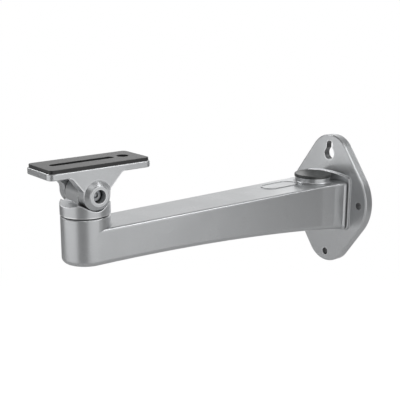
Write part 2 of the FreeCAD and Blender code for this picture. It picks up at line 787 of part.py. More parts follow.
def build_pan_bolt():
    body = new_body("pan_bolt")
    bottom = PAN_HEAD_TOP - d.pan_head_height
    tip = PAN_HEAD_TOP + d.pan_screw_length
    shank = d.pan_thread / 2
    profile = new_sketch(body, "pan_bolt_profile", "YZ_Plane", PAN_AXIS)
    draw_outline(profile, [
        (0, bottom), (d.pan_head / 2, bottom, d.screw_head_round), (d.pan_head / 2, PAN_HEAD_TOP),
        (shank, PAN_HEAD_TOP), (shank, tip - d.screw_point), (shank - d.screw_point, tip), (0, tip)])
    turn_round(body, "Revolution", "pan_bolt_blank", profile)
    socket = plan_sketch(body, "pan_socket_outline", bottom)
    draw_hexagon(socket, d.pan_socket)
    extrude(body, "Pocket", "pan_socket", socket, d.pan_socket_depth, reverse=True)
    return body


def build_spring_washer():
    body = build_ring("pan_spring_washer", PAN_HEAD_TOP, d.spring_washer_thick,
                      d.spring_washer_diameter / 2, d.pan_thread / 2 + d.washer_play)
    slit = plan_sketch(body, "spring_slit_outline", PAN_HEAD_TOP)
    half = d.spring_washer_slit / 2
    reach = d.spring_washer_diameter
    draw_outline(slit, [(0, -half), (reach, -half), (reach, half), (0, half)])
    extrude(body, "Pocket", "spring_slit", slit, d.spring_washer_thick, reverse=True)
    return body


# Tilt joint and camera plate

EAR_GAP = d.tongue_width / 2 + d.side_washer_thick + d.joint_play
PLATE_BOTTOM = TILT_AXIS + d.plate_rise
PLATE_TOP = PLATE_BOTTOM + d.plate_thick


def tilt_profile(body, name):
    """A sketch to turn about the tilt axis: across is X, up is the distance from the axis."""
    return new_sketch(body, name, "XZ_Plane", 0, TILT_AXIS, d.reach)


def add_ear(body, side, name):
    """One ear of the clevis: a round-ended tab, a web that flares into the plate, and a ring."""
    inner = EAR_GAP * side
    tab = side_sketch(body, f"{name}_tab_outline", inner)
    draw_outline(tab, [
        (d.ear_radius, d.plate_rise + 1), (-d.ear_radius, d.plate_rise + 1),
        (-d.ear_radius, 0), (d.ear_radius, 0)], bows={2: d.ear_radius})
    extrude(body, "Pad", f"{name}_tab", tab, d.ear_face - EAR_GAP, reverse=side < 0)
    web = side_sketch(body, f"{name}_web_outline", inner)
    rise = d.plate_rise
    edge = d.web_root_round / 2 + 0.2
    draw_outline(web, [
        (-d.ear_radius, d.web_low),
        (d.ear_radius, d.web_low),
        (d.ear_radius, d.web_knee, d.web_knee_round),
        (d.web_back, rise, d.web_root_round),
        (d.web_back + edge, rise),
        (d.web_back + edge, rise + 1),
        (-d.web_front - edge, rise + 1),
        (-d.web_front - edge, rise),
        (-d.web_front, rise, d.web_root_round),
        (-d.ear_radius, d.web_knee, d.web_knee_round)])
    extrude(body, "Pad", f"{name}_web", web, d.plate_width / 2 - EAR_GAP, reverse=side < 0)
    round_edges(body, f"{name}_tab_edge", d.ear_edge_round,
                lambda edge: lies_at(edge, "X", d.ear_face * side)
                and edge.BoundBox.ZMin < number_of(TILT_AXIS) - 1)
    hollow = tilt_profile(body, f"{name}_hollow_profile")
    outside = d.plate_width / 2 + 1
    draw_outline(hollow, [
        (d.ear_face * side, 0), (d.ear_face * side, d.ear_recess_radius, d.ear_recess_round),
        (outside * side, d.ear_recess_radius), (outside * side, 0)])
    turn_round(body, "Groove", f"{name}_hollow", hollow, "H_Axis")
    ring = tilt_profile(body, f"{name}_ring_profile")
    ring_foot = d.ring_radius + d.ring_root_round + 0.5
    draw_outline(ring, [
        ((d.ear_face - 1) * side, 0), (d.ring_face * side, 0),
        (d.ring_face * side, d.ring_radius, d.ring_edge_round),
        (d.ear_face * side, d.ring_radius, d.ring_root_round),
        (d.ear_face * side, ring_foot),
        ((d.ear_face - 1) * side, ring_foot)])
    turn_round(body, "Revolution", f"{name}_ring", ring, "H_Axis")


def draw_plate(sketch, inset, corner):
    """The plate's outline from above: a rounded rectangle set back from the pan axis."""
    half = d.plate_width / 2 - inset
    front = d.plate_shift - d.plate_length / 2 + inset
    back = d.plate_shift + d.plate_length / 2 - inset
    draw_outline(sketch, [
        (half, front, corner), (half, back, corner), (-half, back, corner), (-half, front, corner)])


def cut_plate_openings(body, top, thick):
    """The slot for the camera screw and the round hole behind it."""
    slot = plan_sketch(body, "camera_slot_outline", top)
    draw_slot(slot, -d.slot_front, d.slot_back, d.slot_width)
    extrude(body, "Pocket", "camera_slot", slot, thick)
    stud = plan_sketch(body, "stud_hole_outline", top)
    draw_circle(stud, 0, d.stud_hole_back, d.stud_hole / 2)
    extrude(body, "Pocket", "stud_hole", stud, thick)


def build_plate():
    body = new_body("camera_plate")
    outline = plan_sketch(body, "plate_outline", PLATE_BOTTOM)
    draw_plate(outline, 0, d.plate_corner)
    extrude(body, "Pad", "plate_blank", outline, d.plate_thick)
    round_edges(body, "plate_edges", d.plate_edge_round,
                lambda edge: lies_at(edge, "Z", PLATE_TOP) or lies_at(edge, "Z", PLATE_BOTTOM))
    add_ear(body, 1, "near")
    add_ear(body, -1, "far")
    outside = d.ring_face + 1
    recess = side_sketch(body, "screw_recess_outline", outside)
    draw_circle(recess, 0, 0, d.tilt_recess / 2)
    extrude(body, "Pocket", "screw_recess", recess, outside - d.tilt_seat)
    pocket = side_sketch(body, "nut_pocket_outline", -outside)
    draw_hexagon(pocket, d.nut_flats + d.nut_play * 2)
    extrude(body, "Pocket", "nut_pocket", pocket, outside - d.tilt_seat, reverse=True)
    hole = side_sketch(body, "tilt_hole_outline")
    draw_circle(hole, 0, 0, d.tilt_hole / 2)
    extrude(body, "Pocket", "tilt_holes", hole, outside * 2, both_ways=True)
    round_edges(body, "recess_mouth", d.ring_edge_round / 2,
                lambda edge: lies_at(edge, "X", d.ring_face)
                and near(edge.BoundBox.YLength, d.tilt_recess))
    cut_plate_openings(body, PLATE_TOP, d.plate_thick)
    return body


def build_pad():
    body = new_body("plate_pad")
    outline = plan_sketch(body, "pad_outline", PLATE_TOP)
    draw_plate(outline, d.pad_inset, d.plate_corner - d.pad_inset)
    extrude(body, "Pad", "pad_blank", outline, d.pad_thick)
    top = PLATE_TOP + d.pad_thick
    round_edges(body, "pad_edge", d.pad_edge_round, lambda edge: lies_at(edge, "Z", top))
    cut_plate_openings(body, top, d.pad_thick)
    return body


def build_tilt_bolt():
    body = new_body("tilt_bolt")
    shank = d.tilt_thread / 2
    tip = d.tilt_seat - d.tilt_screw_length
    face = d.tilt_seat + d.tilt_head_height
    profile = tilt_profile(body, "tilt_bolt_profile")
    draw_outline(profile, [
        (tip, 0), (face, 0), (face, d.tilt_head / 2, d.screw_head_round),
        (d.tilt_seat, d.tilt_head / 2), (d.tilt_seat, shank), (tip + d.screw_point, shank),
        (tip, shank - d.screw_point)])
    turn_round(body, "Revolution", "tilt_bolt_blank", profile, "H_Axis")
    socket = side_sketch(body, "tilt_socket_outline", face)
    draw_hexagon(socket, d.tilt_socket)
    extrude(body, "Pocket", "tilt_socket", socket, d.tilt_socket_depth)
    return body


def build_tilt_nut():
    body = new_body("tilt_nut")
    outline = side_sketch(body, "nut_outline", -d.tilt_seat)
    draw_hexagon(outline, d.nut_flats)
    extrude(body, "Pad", "nut_blank", outline, d.nut_thick, reverse=True)
    face = -d.tilt_seat - d.nut_thick
    corners = tilt_profile(body, "nut_corner_profile")
    flat = d.nut_flats / 2
    draw_outline(corners, [(face, flat), (face + d.nut_thick / 5, flat + 2), (face, flat + 2)])
    turn_round(body, "Groove", "nut_corners", corners, "H_Axis")
    bore = side_sketch(body, "nut_bore_outline")
    draw_circle(bore, 0, 0, d.tilt_thread / 2 + d.thread_play)
    extrude(body, "Pocket", "nut_bore", bore, d.tilt_screw_length * 2, both_ways=True)
    return body


def build_side_washer(label, side):
    """A friction washer against the inner face of one ear."""
    body = new_body(label)
    sketch = side_sketch(body, f"{label}_outline", EAR_GAP * side)
    draw_circle(sketch, 0, 0, d.side_washer_diameter / 2)
    draw_circle(sketch, 0, 0, d.tilt_thread / 2 + d.washer_play)
    extrude(body, "Pad", f"{label}_blank", sketch, d.side_washer_thick, reverse=side > 0)
    return body


SUB_PARTS = [
    build_arm(),
    build_plug(),
    build_ring("pan_friction_ring", d.barrel_top, d.ring_thick,
               d.neck_radius - d.ring_inset, d.spigot_diameter / 2 + d.washer_play),
    build_neck(),
    build_ring("pan_flat_washer", SPRING_WASHER_TOP, d.flat_washer_thick,
               d.flat_washer_diameter / 2, d.pan_thread / 2 + d.washer_play),
    build_spring_washer(),
    build_pan_bolt(),
    build_plate(),
    build_pad(),
    build_tilt_bolt(),
    build_tilt_nut(),
    build_side_washer("tilt_washer_near", 1),
    build_side_washer("tilt_washer_far", -1),
]
doc.recompute()


# Checks before anything is written

problems = []
for item in doc.Objects:
    if "Invalid" in item.State or "Error" in item.State:
        problems.append(f"{item.Label} is {item.State}")
for part in SUB_PARTS:
    if part.Shape.isNull() or not part.Shape.isValid():
        problems.append(f"{part.Label} has no valid shape")
    elif len(part.Shape.Solids) != 1:
        problems.append(f"{part.Label} has {len(part.Shape.Solids)} solids")
if problems:
    raise RuntimeError("; ".join(problems))

os.makedirs("parts", exist_ok=True)
for part in SUB_PARTS:
    part.Shape.exportStep(f"parts/{part.Label}.step")
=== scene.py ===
import json
import math

import bpy
from mathutils import Matrix, Vector


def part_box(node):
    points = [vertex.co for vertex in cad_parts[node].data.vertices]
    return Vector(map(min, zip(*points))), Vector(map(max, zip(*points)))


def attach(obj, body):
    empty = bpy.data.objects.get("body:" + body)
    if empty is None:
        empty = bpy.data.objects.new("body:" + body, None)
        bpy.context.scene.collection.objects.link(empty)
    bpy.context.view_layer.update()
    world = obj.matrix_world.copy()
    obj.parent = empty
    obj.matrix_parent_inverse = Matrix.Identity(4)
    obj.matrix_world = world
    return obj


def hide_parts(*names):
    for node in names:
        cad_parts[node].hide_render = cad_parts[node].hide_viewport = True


# Camera wall bracket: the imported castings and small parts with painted, moulded and turned
# finishes, in soft studio light. Metres, +Z up, the wall is the plane y = 0.

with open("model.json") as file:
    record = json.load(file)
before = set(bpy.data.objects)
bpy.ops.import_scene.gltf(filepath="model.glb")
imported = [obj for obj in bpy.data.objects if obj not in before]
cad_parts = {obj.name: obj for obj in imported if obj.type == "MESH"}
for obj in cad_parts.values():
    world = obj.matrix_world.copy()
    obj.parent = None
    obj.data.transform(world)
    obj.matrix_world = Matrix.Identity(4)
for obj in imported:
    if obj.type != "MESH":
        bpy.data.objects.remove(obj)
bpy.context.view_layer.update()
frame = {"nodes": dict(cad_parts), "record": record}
MM = 0.001


# Camera and lamps

CAMERA_PLACE = Vector((543.211, -617.818, 200.402)) * MM
CAMERA_TARGET = Vector((9.392, -187.935, 27.835)) * MM
CAMERA_ROLL = math.radians(0.17)
CAMERA_LENS = 71.333
CAMERA_SENSOR = 36.0
CAMERA_NEAR = 0.01
ARM_MIDDLE = Vector((0, -0.17, 0.02))

SOFT_BOXES = [
    # name, azimuth, elevation, distance, width, height, level
    ("right_box", 6.0, 3.0, 1.5, 1.8, 1.2, 0.91),
    ("left_box", -100.0, 0.0, 1.5, 1.68, 1.4, 0.92),
    ("left_wing_box", -134.0, -5.0, 2.4, 0.42, 0.64, 1.8),
    ("front_top_box", -25.0, 50.0, 1.5, 1.2, 0.6, 0.95),
    ("edge_box", 39.0, 43.0, 1.5, 0.9, 0.7, 3.0),
    ("far_top_box", -159.0, 40.0, 1.5, 0.6, 0.6, 4.2),
    ("back_box", 122.0, 12.0, 1.5, 0.6, 0.45, 0.6),
]


def aim(place, target, roll=0.0):
    """The matrix of a camera or lamp at place that looks at target."""
    forward = (target - place).normalized()
    right = forward.cross(Vector((0, 0, 1))).normalized()
    up = right.cross(forward)
    turned_right = right * math.cos(roll) + up * math.sin(roll)
    turned_up = up * math.cos(roll) - right * math.sin(roll)
    turn = Matrix((turned_right, turned_up, -forward)).transposed().to_4x4()
    return Matrix.Translation(place) @ turn


def add_camera():
    camera = bpy.data.cameras.new("camera")
    camera.lens = CAMERA_LENS
    camera.sensor_width = CAMERA_SENSOR
    camera.clip_start = CAMERA_NEAR
    item = bpy.data.objects.new("camera", camera)
    item.matrix_world = aim(CAMERA_PLACE, CAMERA_TARGET, CAMERA_ROLL)
    bpy.context.scene.collection.objects.link(item)
    bpy.context.scene.camera = item


def add_soft_box(name, azimuth, elevation, distance, width, height, level):
    """A rectangular soft box aimed at the middle of the arm. Azimuth 0 is +X, 90 is +Y, and a
    level of 1 looks white in a mirror."""
    a = math.radians(azimuth)
    e = math.radians(elevation)
    away = Vector((math.cos(a) * math.cos(e), math.sin(a) * math.cos(e), math.sin(e)))
    lamp = bpy.data.lights.new(name, "AREA")
    lamp.shape = "RECTANGLE"
    lamp.size = width
    lamp.size_y = height
    lamp.energy = level * math.pi * width * height
    item = bpy.data.objects.new(name, lamp)
    item.matrix_world = aim(ARM_MIDDLE + away * distance, ARM_MIDDLE)
    item.visible_camera = False
    bpy.context.scene.collection.objects.link(item)


add_camera()
for box in SOFT_BOXES:
    add_soft_box(*box)


# Node helpers

# Places of a mix node's first, second and result sockets, for colours and for numbers
MIX_COLOURS = (6, 7, 2)
MIX_NUMBERS = (2, 3, 0)
CORNER_SAMPLES = 6


class Look:
    """A material whose nodes are made and joined by short calls. A link is passed as a socket."""

    def __init__(self, name, colour, roughness, metallic=0.0):
        self.material = bpy.data.materials.new(name)
        self.material.use_nodes = True
        self.nodes = self.material.node_tree.nodes
        self.links = self.material.node_tree.links
        self.shader = self.nodes["Principled BSDF"]
        self.shader.inputs["Base Color"].default_value = (*colour, 1)
        self.shader.inputs["Roughness"].default_value = roughness
        self.shader.inputs["Metallic"].default_value = metallic
        self.place = self.nodes.new("ShaderNodeTexCoord").outputs["Object"]

    def put(self, socket, value):
        """Joins a link to a socket, or sets a number or colour on it."""
        if isinstance(value, bpy.types.NodeSocket):
            self.links.new(value, socket)
        elif isinstance(value, tuple) and len(value) == 3 and socket.type == "RGBA":
            socket.default_value = (*value, 1)
        else:
            socket.default_value = value

    def math(self, operation, *values):
        node = self.nodes.new("ShaderNodeMath")
        node.operation = operation
        for socket, value in zip(node.inputs, values):
            self.put(socket, value)
        return node.outputs[0]

    def noise(self, size, detail=2.0):
        """Soft noise whose blobs are about size millimetres across, from 0 to 1."""
        node = self.nodes.new("ShaderNodeTexNoise")
        self.put(node.inputs["Vector"], self.place)
        node.inputs["Scale"].default_value = 1.0 / (size * MM)
        node.inputs["Detail"].default_value = detail
        return node.outputs["Fac"]

    def cells(self, size):
        """Random cells about size millimetres across."""
        node = self.nodes.new("ShaderNodeTexVoronoi")
        self.put(node.inputs["Vector"], self.place)
        node.inputs["Scale"].default_value = 1.0 / (size * MM)
        return node

    def flakes(self, size):
        """One random value from 0 to 1 for each cell."""
        node = self.cells(size)
        apart = self.nodes.new("ShaderNodeSeparateColor")
        self.links.new(node.outputs["Color"], apart.inputs[0])
        return apart.outputs[0]

    def pores(self, size):
        """Distance from the middle of each cell, 0 there and about 1 at the cell's rim."""
        return self.cells(size).outputs["Distance"]

    def remap(self, value, low, high, to_low, to_high):
        node = self.nodes.new("ShaderNodeMapRange")
        for socket, number in zip(node.inputs, (value, low, high, to_low, to_high)):
            self.put(socket, number)
        return node.outputs[0]

    def mix(self, share, first, second):
        """A colour between first and second."""
        first_at, second_at, result_at = MIX_COLOURS
        node = self.nodes.new("ShaderNodeMix")
        node.data_type = "RGBA"
        self.put(node.inputs["Factor"], share)
        self.put(node.inputs[first_at], first)
        self.put(node.inputs[second_at], second)
        return node.outputs[result_at]

    def corner(self, reach, inside):
        """0 on open surfaces and up to 1 at edges (inside) or in creases, within reach mm."""
        node = self.nodes.new("ShaderNodeAmbientOcclusion")
        node.samples = CORNER_SAMPLES
        node.inside = inside
        node.only_local = inside
        node.inputs["Distance"].default_value = reach * MM
        return self.math("SUBTRACT", 1.0, node.outputs["AO"])

    def radius(self, axis, centre):
        """Distance in metres from an axis along x, y or z through centre."""
        apart = self.nodes.new("ShaderNodeVectorMath")
        apart.operation = "MULTIPLY_ADD"
        keep = [0 if letter == axis else 1 for letter in "xyz"]
        apart.inputs[1].default_value = keep
        apart.inputs[2].default_value = [-c * k for c, k in zip(centre, keep)]
        self.links.new(self.place, apart.inputs[0])
        length = self.nodes.new("ShaderNodeVectorMath")
        length.operation = "LENGTH"
        self.links.new(apart.outputs[0], length.inputs[0])
        return length.outputs["Value"]

    def rings(self, axis, centre, spacing):
        """Waves round an axis, spacing millimetres from crest to crest, from -1 to 1."""
        radius = self.radius(axis, centre)
        return self.math("SINE", self.math("MULTIPLY", radius, 2 * math.pi / (spacing * MM)))

    def bump(self, *layers):
        """Stacks (height, depth in mm, strength) layers, the first one lowest."""
        normal = None
        for height, depth, strength in layers:
            node = self.nodes.new("ShaderNodeBump")
            node.inputs["Strength"].default_value = strength
            node.inputs["Distance"].default_value = depth * MM
            self.links.new(height, node.inputs["Height"])
            if normal:
                self.links.new(normal, node.inputs["Normal"])
            normal = node.outputs["Normal"]
        self.links.new(normal, self.shader.inputs["Normal"])

    def colour(self, value):
        self.put(self.shader.inputs["Base Color"], value)

    def roughness(self, value):
        self.put(self.shader.inputs["Roughness"], value)


# Silver paint on the castings

PAINT = (0.53, 0.54, 0.55)
PAINT_SHADE = (0.47, 0.48, 0.49)
# Flake colour, also used as the painted highlight along edges
PAINT_BRIGHT = (0.88, 0.89, 0.9)
# Painted shade in creases
PAINT_CREASE_SHADE = (0.17, 0.173, 0.177)
PAINT_METALLIC = 0.8
PAINT_ROUGHNESS = (0.29, 0.32)

# Sizes of the paint's clouds, peel, grain and flakes in mm, and how much they show
CLOUD_SIZE = 28
CLOUD_RANGE = (0.3, 0.7)
PEEL_SIZE = 1.3
GRAIN_SIZE = 0.45
FLAKE_SIZE = 0.22
FLAKE_SPARKLE = 0.12
FLAKE_ROUGHNESS = 0.03

# Painted highlights on edges, patchy like worn thin paint, and painted shade in creases. The
# reaches are mm, the first for castings and the second for the small added pieces
CASTING_EDGE = 1.4
TRIM_EDGE = 0.25
EDGE_RANGE = (0.08, 0.4)
EDGE_POLISH = 0.07
CREASE_REACH = 3.5
CREASE_RANGE = (0.2, 0.8)
CREASE_SHADE_STRENGTH = 0.9

# Painted shade on the walls of the flange's screw holes, darker than the paint
PAINTED_HOLE_SHADE = (0.25, 0.255, 0.26)
SCREW_HOLES = [
    # x, z, radius in mm: side holes, lower hole, the keyhole's head and the top of its neck
    (42.0, 0.0, 3.6), (-42.0, 0.0, 3.6), (0.0, -57.5, 3.6), (0.0, 48.0, 6.3), (0.0, 57.4, 3.9),
]
# Half width, foot and top of the keyhole's neck in mm
KEYHOLE_NECK = (3.9, 48.0, 57.4)
HOLE_SLACK = 0.04


def in_screw_holes(look):
    """1 on the walls of the flange's screw holes, 0 elsewhere."""
    inside = None
    for x, z, radius in SCREW_HOLES:
        away = look.radius("y", Vector((x, 0, z)) * MM)
        hole = look.math("LESS_THAN", away, (radius + HOLE_SLACK) * MM)
        inside = look.math("MAXIMUM", inside, hole) if inside else hole
    half, low, high = KEYHOLE_NECK
    apart = look.nodes.new("ShaderNodeSeparateXYZ")
    look.links.new(look.place, apart.inputs[0])
    from_middle = look.math("ABSOLUTE", apart.outputs["X"])
    across = look.math("LESS_THAN", from_middle, (half + HOLE_SLACK) * MM)
    from_centre = look.math("SUBTRACT", apart.outputs["Z"], (low + high) / 2 * MM)
    up = look.math("LESS_THAN", look.math("ABSOLUTE", from_centre), (high - low) / 2 * MM)
    return look.math("MAXIMUM", inside, look.math("MULTIPLY", across, up))


def silver_paint(name, reach, holes=None):
    """Satin metallic paint on a die casting: flakes, a faint orange peel, a painted highlight on
    edges within reach millimetres, patchy like worn thin paint, painted shade in creases, and
    painted shade on the walls of the holes."""
    look = Look(name, PAINT, 0.33, PAINT_METALLIC)
    cloud = look.noise(CLOUD_SIZE, 3)
    peel = look.noise(PEEL_SIZE, 2)
    grain = look.noise(GRAIN_SIZE, 2)
    flake = look.flakes(FLAKE_SIZE)
    # Painted highlight: edges within reach are lightened as if catching light, in patches like
    # worn thin paint
    edge = look.remap(look.corner(reach, True), *EDGE_RANGE, 0.0, 1.0)
    patchy = look.remap(look.noise(3.5, 3), 0.35, 0.65, 0.65, 1.0)
    edge_highlight_and_wear = look.math("MULTIPLY", edge, patchy)
    # Painted shade: creases and hollows are darkened where shade falls
    painted_crease_shade = look.remap(look.corner(CREASE_REACH, False), *CREASE_RANGE, 0.0, CREASE_SHADE_STRENGTH)
    base = look.mix(look.remap(cloud, *CLOUD_RANGE, 0.0, 0.5), PAINT, PAINT_SHADE)
    sparkle = look.mix(look.remap(flake, 0.0, 1.0, 0.0, FLAKE_SPARKLE), base, PAINT_BRIGHT)
    with_crease_shade = look.mix(painted_crease_shade, sparkle, PAINT_CREASE_SHADE)
    # The painted edge highlight is mixed in here
    painted = look.mix(edge_highlight_and_wear, with_crease_shade, PAINT_BRIGHT)
    # Painted shade on the walls of the screw holes
    look.colour(look.mix(holes(look), painted, PAINTED_HOLE_SHADE) if holes else painted)
    cloudy = look.remap(cloud, *CLOUD_RANGE, *PAINT_ROUGHNESS)
    flaky = look.remap(flake, 0.0, 1.0, -FLAKE_ROUGHNESS, FLAKE_ROUGHNESS)
    polish = look.math("MULTIPLY", edge_highlight_and_wear, EDGE_POLISH)
    look.roughness(look.math("SUBTRACT", look.math("ADD", cloudy, flaky), polish))
    look.bump((peel, 0.02, 0.5), (grain, 0.008, 0.5))
    return look.material


# Rubber, nylon and steel

PAD_LIGHT = (0.026, 0.026, 0.027)
PAD_DARK = (0.016, 0.016, 0.017)
PAD_PORE = (0.01, 0.01, 0.011)
PLUG_LIGHT = (0.038, 0.042, 0.040)
PLUG_DARK = (0.024, 0.027, 0.026)
PLUG_RING_SPACING = 0.9
NYLON_LIGHT = (0.016, 0.016, 0.017)
NYLON_DARK = (0.008, 0.008, 0.008)
ZINC_LIGHT = (0.42, 0.42, 0.41)
ZINC_DARK = (0.30, 0.32, 0.35)
LATHE_SPACING = 0.22


def foam_rubber():
    """Closed-cell rubber pad: fine pores, blotches and a soft sheen."""
    look = Look("pad_rubber", (0.035, 0.035, 0.037), 0.55)
    look.shader.inputs["Specular IOR Level"].default_value = 0.5
    look.shader.inputs["Sheen Weight"].default_value = 0.12
    look.shader.inputs["Sheen Roughness"].default_value = 0.4
    pore = look.pores(0.55)
    grain = look.noise(0.9, 4)
    blotch = look.remap(look.noise(11, 3), 0.3, 0.7, 0.0, 1.0)
    base = look.mix(blotch, PAD_DARK, PAD_LIGHT)
    look.colour(look.mix(look.remap(pore, 0.1, 0.35, 1.0, 0.0), base, PAD_PORE))
    look.roughness(look.remap(grain, 0.3, 0.7, 0.28, 0.38))
    look.bump((grain, 0.05, 0.4), (pore, 0.05, 0.5))
    return look.material


def moulded_rubber():
    """The plug: smooth moulded rubber with a faint bloom and a fine die texture."""
    look = Look("plug_rubber", (0.03, 0.033, 0.032), 0.4)
    look.shader.inputs["Specular IOR Level"].default_value = 0.9
    bloom = look.remap(look.noise(6, 4), 0.35, 0.65, 0.0, 1.0)
    die = look.noise(0.5, 2)
    rings = look.rings("z", PLUG_MIDDLE, PLUG_RING_SPACING)
    look.colour(look.mix(bloom, PLUG_DARK, PLUG_LIGHT))
    look.roughness(look.remap(bloom, 0.0, 1.0, 0.34, 0.42))
    look.bump((rings, 0.01, 0.25), (die, 0.02, 0.5))
    return look.material


def black_nylon():
    look = Look("black_nylon", (0.018, 0.018, 0.018), 0.45)
    grain = look.noise(0.6, 3)
    look.colour(look.mix(look.noise(2.5, 2), NYLON_DARK, NYLON_LIGHT))
    look.roughness(look.remap(grain, 0.3, 0.7, 0.38, 0.52))
    look.bump((grain, 0.02, 0.5))
    return look.material


def zinc_steel(name, axis, centre):
    """Bright zinc on turned steel: fine rings about the part's own axis, cloudy plating."""
    look = Look(name, (0.6, 0.61, 0.62), 0.3, 1.0)
    cloud = look.remap(look.noise(2.2, 3), 0.3, 0.7, 0.0, 1.0)
    rings = look.rings(axis, centre, LATHE_SPACING)
    speck = look.noise(0.35, 3)
    look.colour(look.mix(cloud, ZINC_DARK, ZINC_LIGHT))
    look.roughness(look.remap(speck, 0.3, 0.7, 0.24, 0.38))
    look.bump((rings, 0.006, 0.5), (speck, 0.006, 0.4))
    return look.material


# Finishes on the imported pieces

def middle(node):
    low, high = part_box(node)
    return (low + high) / 2


PLUG_MIDDLE = middle("cable_plug")
PAN_CENTRE = middle("pan_bolt")
TILT_CENTRE = middle("tilt_nut")

pan_steel = zinc_steel("pan_zinc_steel", "z", PAN_CENTRE)
tilt_steel = zinc_steel("tilt_zinc_steel", "x", TILT_CENTRE)
arm_paint = silver_paint("arm_paint", CASTING_EDGE, in_screw_holes)
LOOKS = {
    "casting": silver_paint("silver_paint", CASTING_EDGE),
    "pad": foam_rubber(),
    "plug": moulded_rubber(),
    "washer": black_nylon(),
}


def look_of(node, slot):
    """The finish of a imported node. Steel has its rings about the screw that it belongs to."""
    if node == "arm_casting":
        return arm_paint
    steel = tilt_steel if node.startswith("tilt") else pan_steel
    return LOOKS.get(slot, steel)


for part in frame["record"]["subparts"]:
    node = frame["nodes"][part["node"]]
    node.data.materials.clear()
    node.data.materials.append(look_of(part["node"], part["material_slot"]))


# Helpers for new pieces

SHARP_EDGE = 35


def add_piece(name, points, faces):
    """A smooth-shaded mesh whose edges are sharp where its faces meet at SHARP_EDGE or more."""
    mesh = bpy.data.meshes.new(name)
    mesh.from_pydata(points, [], faces)
    mesh.update()
    for face in mesh.polygons:
        face.use_smooth = True
    mesh.set_sharp_from_angle(angle=math.radians(SHARP_EDGE))
    piece = bpy.data.objects.new(name, mesh)
    bpy.context.scene.collection.objects.link(piece)
    return piece


def band(lower, upper, count):
    """The faces between two closed rows of count points that start at lower and upper."""
    faces = []
    for i in range(count):
        j = (i + 1) % count
        faces.append((lower + i, upper + i, upper + j, lower + j))
    return faces


def skin(name, rows, turn, ring=False):
    """A closed piece through rows of (radius, height) pairs, one pair for each of its sides. A
    ring joins its last row to its first, any other piece has a cap at each end."""
    sides = len(rows[0])
    points = []
    for row in rows:
        for i, (radius, z) in enumerate(row):
            angle = 2 * math.pi * i / sides
            place = Vector((radius * math.cos(angle), radius * math.sin(angle), z))
            points.append(turn @ place)
    faces = []
    for r in range(len(rows) if ring else len(rows) - 1):
        after = (r + 1) % len(rows)
        faces += band(r * sides, after * sides, sides)
    if not ring:
        faces.append(tuple(range(sides)))
        faces.append(tuple(reversed(range(len(points) - sides, len(points)))))
    return add_piece(name, points, faces)


def turned_rows(profile, sides):
    """Rows for skin of a round piece, from its (radius, height) profile in millimetres."""
    return [[(radius * MM, z * MM)] * sides for radius, z in profile]


def finish_piece(piece, body, slot, material, *nodes):
    piece.data.materials.append(material)
    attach(piece, body)
    if nodes:
        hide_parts(*nodes)


# Plug of the cable port: a cap with a raised rim and a skirt, over a hollow wall with a bead

PLUG_SIDES = 160
PLUG_PROFILE = [
    # radius, height above the plug's foot
    (0.02, 8.72), (6.0, 8.72), (11.0, 8.74), (14.5, 8.80), (16.0, 8.88), (16.7, 9.02),
    (17.2, 9.09), (17.7, 9.09), (18.1, 9.0), (18.4, 8.8), (18.56, 8.5), (18.6, 8.2),
    (18.6, 6.6), (18.5, 6.3), (18.3, 6.2), (18.05, 6.2), (17.95, 6.35), (17.95, 7.0),
    (15.32, 7.0), (15.2, 6.7), (15.2, 3.6), (15.34, 3.2), (15.34, 2.8), (15.1, 2.3),
    (15.0, 0.4), (14.7, 0.0), (13.6, 0.0), (13.4, 0.3), (13.4, 6.2), (12.9, 6.6), (0.02, 6.6),
]
plug_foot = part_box("cable_plug")[0]
plug_turn = Matrix.Translation((PLUG_MIDDLE.x, PLUG_MIDDLE.y, plug_foot.z))
plug = skin("moulded_plug", turned_rows(PLUG_PROFILE, PLUG_SIDES), plug_turn)
finish_piece(plug, "arm", "plug", LOOKS["plug"], "cable_plug")


# Cap screws: one for each joint, with a knurled head, a hexagonal socket and a thread

HEAD_SIDES = 144
KNURLS = 36
KNURL_ROWS = 6
THREAD_ROWS_PER_TURN = 8

# Radius in mm of a row that closes on the screw's axis
POINT = 0.02

# Shares of the head's radius
HEAD_CHAMFER = 0.1
KNURL_DEPTH = 0.032
HEAD_SHOULDER = 0.045

# The drill's radius as a share of the key's width, and its cone's reach below the socket's
# floor as a share of that radius
DRILL = 0.4
DRILL_CONE = 0.55

# Radii of the socket's round mouth as shares of half the key's width
MOUTH_INNER = 1.17
MOUTH_OUTER = 1.2

# The thread's depth as a share of its pitch, and how steeply its groove narrows
THREAD_DEPTH = 0.6
GROOVE_SLOPE = 2.4

# Millimetres. The thread starts thread_from below the head's face
TILT_SCREW = {"head_height": 4.0, "shank_radius": 3.0, "key": 4.0, "key_depth": 2.2,
              "pitch": 1.0, "thread_from": 25.0}
PAN_SCREW = {"head_height": 8.0, "shank_radius": 4.0, "key": 6.0, "key_depth": 4.0,
             "pitch": 1.25, "thread_from": 15.0}


def hexagon(flats, angle):
    """Radius of a hexagon, flats across, in the direction angle."""
    step = math.pi / 3
    return flats / 2 / math.cos(angle % step - step / 2)


def screw_row(z, radius):
    """One row of a screw at height z. The radius is a number or a function of the angle."""
    row = []
    for i in range(HEAD_SIDES):
        angle = 2 * math.pi * i / HEAD_SIDES
        row.append((radius(angle) if callable(radius) else radius, z))
    return row


def socket_rows(key, key_depth):
    """The socket, from the point of its drilled end out to its mouth."""
    drill = key * DRILL
    return [
        screw_row(-key_depth - drill * DRILL_CONE, POINT),
        screw_row(-key_depth - 0.05, drill),
        screw_row(-key_depth, lambda a: hexagon(key, a) - 0.05),
        screw_row(-key_depth + 0.08, lambda a: hexagon(key, a)),
        screw_row(-0.28, lambda a: hexagon(key, a)),
        screw_row(-0.02, key / 2 * MOUTH_INNER),
        screw_row(0.0, key / 2 * MOUTH_OUTER),
    ]


